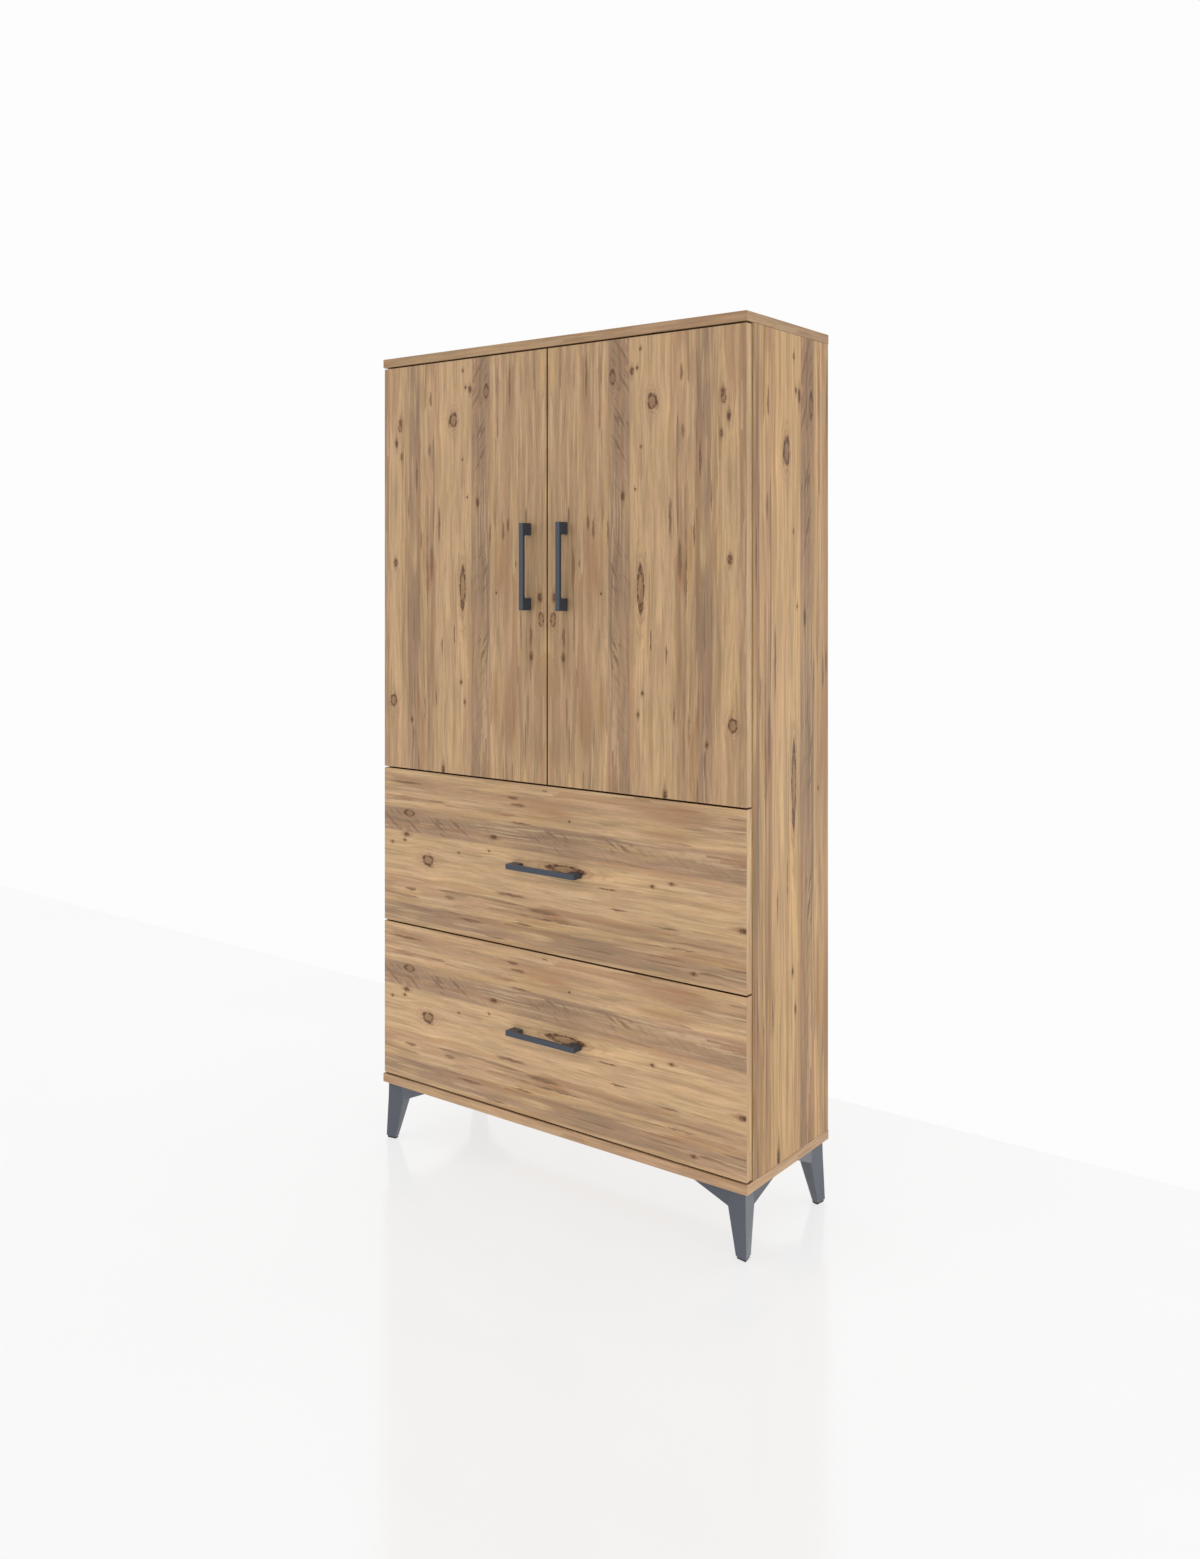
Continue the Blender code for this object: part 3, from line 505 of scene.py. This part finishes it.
def make_pine_looks():
    """Materials for every decor board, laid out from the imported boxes."""
    looks = {}
    for hand in ("left", "right"):
        low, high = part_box("door_" + hand)
        u = from_low(low.x) if hand == "left" else (-PER_METRE, high.x * PER_METRE)
        meeting = (X, 1.0) if hand == "left" else (X, -1.0)
        looks["door_" + hand] = pine("pine_door_" + hand, Y, X, Z, u,
                                     along_from_top(high.z),
                                     DOOR_EDGE_AT - low.y * PER_METRE,
                                     shaded_gap_edges=(meeting, (Z, 1.0), (Z, -1.0)))
    for level in ("lower", "upper"):
        low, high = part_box("drawer_{}_front".format(level))
        across, along = DRAWER_STRETCH
        u = (PER_METRE / across, DRAWER_TOP_AT - high.z * PER_METRE / across)
        v = (PER_METRE / along, -low.x * PER_METRE / along)
        looks["drawer_{}_front".format(level)] = pine(
            "pine_drawer_" + level, Y, Z, X, u, v, DRAWER_EDGE_AT - low.y * PER_METRE,
            DRAWER_TINTS_WITH_PAINTED_LIGHT[level], shaded_gap_edges=((Z, 1.0), (Z, -1.0)))
    for hand in ("left", "right"):
        low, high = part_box("side_panel_" + hand)
        across, along = SIDE_STRETCH
        looks["side_panel_" + hand] = pine(
            "pine_side_" + hand, X, Y, Z,
            (PER_METRE / across, SIDE_FRONT_AT - low.y * PER_METRE / across),
            along_from_top(high.z, along), SIDE_EDGE_AT - low.x * PER_METRE, SIDE_TINT,
            contrast=SIDE_CONTRAST)
    for name, start in PANEL_STARTS.items():
        low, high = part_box(name)
        tint = PANEL_TINTS.get(name, PANEL_TINT)
        # the divider shelf's front edge, seen through the gap between the doors, gets
        # painted gap shade
        shaded_gap_edges = ((Y, -1.0),) if name == "divider_shelf" else ()
        looks[name] = pine("pine_" + name, Z, Y, X, from_low(low.y, start),
                           from_low(low.x), PANEL_EDGE_AT - low.z * PER_METRE, tint,
                           shaded_gap_edges=shaded_gap_edges)
    for level in ("lower", "upper"):
        stem = "drawer_{}_".format(level)
        low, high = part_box(stem + "side_left")
        up_the_box = from_low(low.z, BOX_BOARD_AT)
        box_side = pine("pine_box_side_" + level, X, Z, Y, up_the_box,
                        from_low(low.y, BOX_SIDE_ALONG), BOX_BOARD_AT)
        box_back = pine("pine_box_back_" + level, Y, Z, X, up_the_box,
                        (PER_METRE, BOX_BACK_ALONG), BOX_BOARD_AT)
        looks[stem + "side_left"] = looks[stem + "side_right"] = box_side
        looks[stem + "back"] = box_back
        low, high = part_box(stem + "bottom")
        looks[stem + "bottom"] = pine(
            "pine_box_base_" + level, Z, Y, X, from_low(low.y, BOX_BASE_AT),
            (PER_METRE, BOX_BASE_ALONG), BOX_BOARD_AT, raw_back=(Z, -1.0))
        low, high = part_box("back_panel_" + level)
        looks["back_panel_" + level] = pine(
            "pine_back_" + level, Y, X, Z,
            (BACK_DENSITY, BACK_MIDDLE_AT),
            along_from_top(high.z), BOX_BOARD_AT, raw_back=(Y, 1.0))
    return looks


SLATE_HANDLE = paint("slate_powder_coat", srgb(52, 60, 72), srgb(64, 72, 84), 0.36)
SLATE_LEG = paint("slate_leg_plastic", srgb(62, 68, 80), srgb(86, 92, 103), 0.30, 900.0,
                  0.12, 0.15, coat=0.5)
BLACK_PLASTIC = paint("black_plastic", srgb(40, 41, 43), srgb(66, 66, 68), 0.55, 700.0)
RAIL_CREAM = paint("rail_cream_coat", srgb(222, 218, 206), srgb(188, 184, 172), 0.38)
SOFT_BUMPER = paint("soft_bumper", srgb(206, 208, 206), srgb(232, 233, 231), 0.30, 400.0)
NICKEL = metal("nickel_plate", srgb(204, 202, 196), 0.30)
ZINC = metal("zinc_plate", srgb(190, 192, 192), 0.38, (300, 300, 300))
NAIL_STEEL = metal("nail_steel", srgb(150, 148, 144), 0.42, (500, 500, 500))


def dress(names, material):
    for name in names:
        for slot in NODES[name].material_slots:
            slot.link = "OBJECT"
            slot.material = material


for board_name, board_look in make_pine_looks().items():
    dress([board_name], board_look)
dress([n for n in NODES if n.startswith("leg_")], SLATE_LEG)
dress([n for n in NODES if n.startswith("handle_")], SLATE_HANDLE)
dress([n for n in NODES if n.startswith("glide_")], BLACK_PLASTIC)
dress([n for n in NODES if "rail_" in n], RAIL_CREAM)
dress([n for n in NODES if n.startswith(("hinge_", "shelf_pin_"))], NICKEL)


# ---- small hardware ------------------------------------------------------------------
def finish_mesh(bm, name, materials, smooth_angle=math.radians(35)):
    bmesh.ops.recalc_face_normals(bm, faces=bm.faces)
    for face in bm.faces:
        face.smooth = True
    for edge in bm.edges:
        edge.smooth = edge.calc_face_angle(0.0) < smooth_angle
    mesh = bpy.data.meshes.new(name)
    bm.to_mesh(mesh)
    bm.free()
    for material in materials:
        mesh.materials.append(material)
    return mesh


def lathe(profile, steps=24):
    """A closed round solid about Z from (radius, height) points that start and end at 0."""
    bm = bmesh.new()
    points = [bm.verts.new((radius, 0, height)) for radius, height in profile]
    edges = [bm.edges.new(pair) for pair in zip(points, points[1:])]
    bmesh.ops.spin(bm, geom=points + edges, cent=(0, 0, 0), axis=(0, 0, 1),
                   angle=math.tau, steps=steps, use_duplicate=False)
    bmesh.ops.remove_doubles(bm, verts=bm.verts, dist=1e-6)
    bmesh.ops.recalc_face_normals(bm, faces=bm.faces)
    return bm


def add_block(bm, low, high, bevel=0.0):
    centre = (Vector(low) + Vector(high)) / 2
    size = Vector(high) - Vector(low)
    matrix = Matrix.Translation(centre) @ Matrix.Diagonal((*size, 1.0))
    made = bmesh.ops.create_cube(bm, size=1.0, matrix=matrix)["verts"]
    if bevel:
        edges = list({edge for vert in made for edge in vert.link_edges})
        bmesh.ops.bevel(bm, geom=edges, offset=bevel, segments=2, profile=0.5,
                        affect="EDGES", clamp_overlap=True)


def carve(bm, cutters):
    """The solid minus its cutters, worked out with an exact Boolean."""
    def temporary(shape):
        mesh = bpy.data.meshes.new("carve")
        shape.to_mesh(mesh)
        shape.free()
        made = bpy.data.objects.new("carve", mesh)
        bpy.context.scene.collection.objects.link(made)
        return made

    solid = temporary(bm)
    tools = [temporary(cutter) for cutter in cutters]
    for tool in tools:
        change = solid.modifiers.new("cut", "BOOLEAN")
        change.operation = "DIFFERENCE"
        change.solver = "EXACT"
        change.object = tool
    graph = bpy.context.evaluated_depsgraph_get()
    result = bmesh.new()
    result.from_mesh(solid.evaluated_get(graph).to_mesh())
    for item in [solid] + tools:
        mesh = item.data
        bpy.data.objects.remove(item, do_unlink=True)
        bpy.data.meshes.remove(mesh)
    return result


def cross_cutter(reach, width, depth, top):
    cutters = []
    for long_x, long_y in ((reach, width), (width, reach)):
        bm = bmesh.new()
        add_block(bm, (-long_x, -long_y, top - depth), (long_x, long_y, top + depth))
        cutters.append(bm)
    return cutters


def screw_head(radius, height, name):
    """A domed cross-recess screw head standing on z = 0."""
    profile = ((0, -SUNK), (radius, -SUNK), (radius, 0.15 * height),
               (0.93 * radius, 0.45 * height), (0.72 * radius, 0.78 * height),
               (0.40 * radius, 0.96 * height), (0, height))
    bm = carve(lathe(profile), cross_cutter(0.52 * radius, 0.11 * radius, 0.6 * height,
                                            height))
    return finish_mesh(bm, name, ())


def copies(name, source, matrices, body, material):
    """One piece made of many copies of a small mesh; it rides on a body."""
    bm = bmesh.new()
    for matrix in matrices:
        before = len(bm.verts)
        bm.from_mesh(source)
        bm.verts.ensure_lookup_table()
        bmesh.ops.transform(bm, matrix=matrix, verts=bm.verts[before:])
    piece(name, finish_mesh(bm, name, (material,)), body)


def piece(name, mesh, body):
    made = bpy.data.objects.new(name, mesh)
    bpy.context.scene.collection.objects.link(made)
    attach(made, body)


def facing(at, direction, turn=0.0):
    """Places something that stands on z = 0 so that it stands on a wall at a point."""
    wall = Vector(direction).to_track_quat("Z", "Y").to_matrix().to_4x4()
    return Matrix.Translation(at) @ wall @ Matrix.Rotation(turn, 4, "Z")


SUNK = 0.2 * MM            # how far a head's foot is let into what it stands on
HANDLE_SCREW_INSET = 12 * MM
# Hinge ears: near and far edge from the cup's middle, and reach to either side of it.
EAR_NEAR, EAR_FAR = 16.5 * MM, 30 * MM
EAR_IN, EAR_OUT, EAR_THICK, EAR_BEVEL = 12.5 * MM, 2.0 * MM, 0.9 * MM, 0.3 * MM
EAR_SCREW_IN, EAR_SCREW_UP = 5.5 * MM, 24 * MM
ARM_PLATE_THICK = 1.8 * MM
ARM_PLATE_SCREW = (37 * MM, 16 * MM)   # from the plate's front edge, and up or down
ARM_SCREW_REACHES = (16, 40)           # millimetres from the plate's front edge
RAIL_FLANGE = 1.2 * MM
RAIL_SCREW_UP = 12 * MM
RAIL_SCREW_REACHES = (37, 133, 229)    # millimetres from the rail's front end
BUMPER_REACHES = (12, 380)             # millimetres from the doors' meeting edge
BUMPER_UP = 4.5 * MM
NAIL_INSET = 8 * MM
NAILS_ACROSS, NAIL_STEPS_UP = 7, 6
CAM_DOWN, CAM_INSET = 24 * MM, 37 * MM
HANDLE_SCREW = screw_head(3.8 * MM, 2.0 * MM, "handle_screw")
SMALL_SCREW = screw_head(3.2 * MM, 1.2 * MM, "small_screw")
RAIL_SCREW = screw_head(3.0 * MM, 0.9 * MM, "rail_screw")


def add_handle_screws():
    """Two screws through each front, under the feet of its handle."""
    for handle, front, body in (
            ("handle_door_left", "door_left", "door_left"),
            ("handle_door_right", "door_right", "door_right"),
            ("handle_drawer_lower", "drawer_lower_front", "drawer_lower"),
            ("handle_drawer_upper", "drawer_upper_front", "drawer_upper")):
        low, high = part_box(handle)
        centre = (low + high) / 2
        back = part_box(front)[1].y
        along = Z if high.z - low.z > high.x - low.x else X
        spots = []
        for end in (low[along] + HANDLE_SCREW_INSET, high[along] - HANDLE_SCREW_INSET):
            at = Vector((centre.x, back, centre.z))
            at[along] = end
            spots.append(facing(at, (0, 1, 0), 0.3 + 40 * at.z + 9 * at.x))
        copies("screws_" + handle, HANDLE_SCREW, spots, body, ZINC)


def add_hinge_details():
    """Screwed ears on each cup, and the screws that hold and set each hinge arm."""
    for hand, sign in (("left", -1), ("right", 1)):
        for end in ("lower", "upper"):
            low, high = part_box("hinge_cup_{}_{}".format(hand, end))
            centre = (low + high) / 2
            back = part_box("door_" + hand)[1].y
            name = "{}_{}".format(hand, end)
            bm = bmesh.new()
            inner = centre.x - sign * EAR_IN
            outer = centre.x + sign * EAR_OUT
            for side in (-1, 1):
                z_near, z_far = centre.z + side * EAR_NEAR, centre.z + side * EAR_FAR
                add_block(bm, (min(inner, outer), back, min(z_near, z_far)),
                          (max(inner, outer), back + EAR_THICK, max(z_near, z_far)),
                          EAR_BEVEL)
            piece("hinge_ears_" + name, finish_mesh(bm, "hinge_ears_" + name, (NICKEL,)),
                  "door_" + hand)
            spots = [facing((centre.x - sign * EAR_SCREW_IN, back + EAR_THICK,
                             centre.z + side * EAR_SCREW_UP), (0, 1, 0),
                            0.5 + side * 0.3) for side in (-1, 1)]
            copies("hinge_ear_screws_" + name, RAIL_SCREW, spots, "door_" + hand, ZINC)
            low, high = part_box("hinge_arm_" + name)
            middle = (low.z + high.z) / 2
            plate = (high.x if sign > 0 else low.x) - sign * ARM_PLATE_THICK
            reach, rise = ARM_PLATE_SCREW
            spots = [facing((plate, low.y + reach, middle + side * rise), (-sign, 0, 0),
                            0.7 + side * 0.5) for side in (-1, 1)]
            top = low.x if sign > 0 else high.x
            spots += [facing((top, low.y + reach * MM, middle), (-sign, 0, 0), 0.2 * reach)
                      for reach in ARM_SCREW_REACHES]
            copies("hinge_arm_screws_" + name, SMALL_SCREW, spots, "carcass", ZINC)


def add_rail_screws():
    """Screws in the cabinet's four rails, seen when a drawer is pulled out."""
    for level in ("lower", "upper"):
        for hand, sign in (("left", -1), ("right", 1)):
            low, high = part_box("cabinet_rail_{}_{}".format(level, hand))
            wall = (high.x if sign > 0 else low.x) - sign * RAIL_FLANGE
            spots = [facing((wall, low.y + reach * MM, low.z + RAIL_SCREW_UP),
                            (-sign, 0, 0), 0.1 * reach) for reach in RAIL_SCREW_REACHES]
            copies("cabinet_rail_screws_{}_{}".format(level, hand), RAIL_SCREW, spots,
                   "carcass", ZINC)


def add_bumpers():
    """Clear bumpers at each door's two lower corners."""
    bm = lathe(((0, 0), (4.0 * MM, 0), (4.0 * MM, 0.5 * MM), (3.4 * MM, 1.0 * MM),
                (2.0 * MM, 1.25 * MM), (0, 1.3 * MM)))
    source = finish_mesh(bm, "bumper", ())
    for hand, sign in (("left", -1), ("right", 1)):
        low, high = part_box("door_" + hand)
        meeting = high.x if sign < 0 else low.x
        spots = [facing((meeting + sign * reach * MM, high.y, low.z + BUMPER_UP),
                        (0, 1, 0)) for reach in BUMPER_REACHES]
        copies("door_bumpers_" + hand, source, spots, "door_" + hand, SOFT_BUMPER)


def add_back_nails():
    """Flat nail heads that hold the two back sheets."""
    bm = lathe(((0, -SUNK), (2.6 * MM, -SUNK), (2.6 * MM, 0.25 * MM),
                (2.2 * MM, 0.5 * MM), (0, 0.55 * MM)), 16)
    source = finish_mesh(bm, "nail", ())
    spots = []
    for level in ("lower", "upper"):
        low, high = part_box("back_panel_" + level)
        left, right = low.x + NAIL_INSET, high.x - NAIL_INSET
        bottom, top = low.z + NAIL_INSET, high.z - NAIL_INSET
        for step in range(NAILS_ACROSS):
            x = left + (right - left) * step / (NAILS_ACROSS - 1)
            spots += [(x, bottom), (x, top)]
        for step in range(1, NAIL_STEPS_UP):
            z = bottom + (top - bottom) * step / NAIL_STEPS_UP
            spots += [(left, z), (right, z)]
    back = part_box("back_panel_lower")[1].y
    places = [facing((x, back, z), (0, 1, 0)) for x, z in spots]
    copies("back_nails", source, places, "carcass", NAIL_STEEL)


def add_cam_locks():
    """Eccentric fittings in the side panels, just under the top panel."""
    radius, proud = 7.5 * MM, 0.35 * MM
    profile = ((0, -0.3 * MM), (radius, -0.3 * MM), (radius, proud * 0.6),
               (radius - 0.4 * MM, proud), (radius - 1.4 * MM, proud),
               (radius - 1.7 * MM, -0.1 * MM), (radius - 2.2 * MM, -0.1 * MM),
               (radius - 2.5 * MM, proud), (0, proud))
    bm = carve(lathe(profile, 32), cross_cutter(3.4 * MM, 0.7 * MM, 0.5 * MM, proud))
    source = finish_mesh(bm, "cam", ())
    for hand, sign in (("left", -1), ("right", 1)):
        low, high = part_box("side_panel_" + hand)
        wall = low.x if sign > 0 else high.x
        spots = [facing((wall, y, high.z - CAM_DOWN), (-sign, 0, 0), 0.4 + y * 9)
                 for y in (low.y + CAM_INSET, high.y - CAM_INSET)]
        copies("cam_locks_" + hand, source, spots, "carcass", ZINC)


add_handle_screws()
add_hinge_details()
add_rail_screws()
add_bumpers()
add_back_nails()
add_cam_locks()


# ---- floor, light and camera ---------------------------------------------------------
WHITE = 0.98
FLOOR_GLOW = 0.715
FLOOR_GLOSS = (0.08, 0.08, 0.08, 1)
FLOOR_END_Y = 0.635
FLOOR_REACH = 14.0
MIDDLE = (0, 0, 0.8)       # what the soft boxes are aimed at
LENS_MM = 31.32
SENSOR_MM = 36.0
SHIFT_DOWN = 0.1292
EYE = (1.664, -2.1807, 1.1962)
TURN = math.radians(36.94)


def make_floor():
    """A pale, faintly glossy floor that ends behind the cabinet at a white surround."""
    bm = bmesh.new()
    corners = ((-FLOOR_REACH, -FLOOR_REACH), (FLOOR_REACH, -FLOOR_REACH),
               (FLOOR_REACH, FLOOR_END_Y), (-FLOOR_REACH, FLOOR_END_Y))
    bm.faces.new([bm.verts.new((x, y, 0)) for x, y in corners])
    material, g, shader = new_material("pale_floor")
    place = g.tree.nodes.new("ShaderNodeTexCoord").outputs["Object"]
    cloud = g.noise(g.scaled(place, (2, 2, 2)), 3.0, 0.5)
    tone = g.math("MULTIPLY_ADD", cloud, 0.02, 0.15)
    polish = g.math("MULTIPLY_ADD", cloud, 0.08, 0.10)
    matt = g.add("BsdfDiffuse", {"Color": g.join(tone, tone, tone)})
    gloss = g.add("BsdfGlossy", {"Color": FLOOR_GLOSS, "Roughness": polish})
    glow = g.add("Emission", {"Color": (1, 1, 1, 1), "Strength": FLOOR_GLOW})
    surface = g.add("AddShader", (g.add("AddShader", (matt, gloss)), glow))
    g.tree.nodes.remove(shader)
    g.tree.links.new(surface, g.tree.nodes["Material Output"].inputs["Surface"])
    mesh = finish_mesh(bm, "floor", (material,))
    floor = bpy.data.objects.new("floor", mesh)
    bpy.context.scene.collection.objects.link(floor)


def soft_box(name, at, size, watts):
    light = bpy.data.lights.new(name, "AREA")
    light.shape = "RECTANGLE"
    light.size, light.size_y = size
    light.energy = watts
    lamp = bpy.data.objects.new(name, light)
    bpy.context.scene.collection.objects.link(lamp)
    lamp.location = at
    lamp.rotation_euler = (Vector(MIDDLE) - Vector(at)).to_track_quat("-Z", "Y").to_euler()


def make_light():
    world = bpy.data.worlds.new("studio")
    world.use_nodes = True
    sky = world.node_tree.nodes["Background"]
    sky.inputs["Color"].default_value = (WHITE, WHITE, WHITE, 1)
    sky.inputs["Strength"].default_value = 1.0
    bpy.context.scene.world = world
    soft_box("softbox_rear_right", (2.5, 2.4, 0.7), (1.4, 1.4), watts=13)
    soft_box("softbox_front_left", (-1.9, -2.6, 2.2), (2.0, 2.0), watts=8)


def make_camera():
    camera = bpy.data.cameras.new("camera")
    camera.lens = LENS_MM
    camera.sensor_width = SENSOR_MM
    camera.shift_y = -SHIFT_DOWN
    eye = bpy.data.objects.new("camera", camera)
    bpy.context.scene.collection.objects.link(eye)
    eye.location = EYE
    eye.rotation_euler = (math.radians(90), 0, TURN)
    bpy.context.scene.camera = eye


make_floor()
make_light()
make_camera()
bpy.context.scene.view_settings.view_transform = "Standard"
bpy.context.scene.view_settings.look = "None"
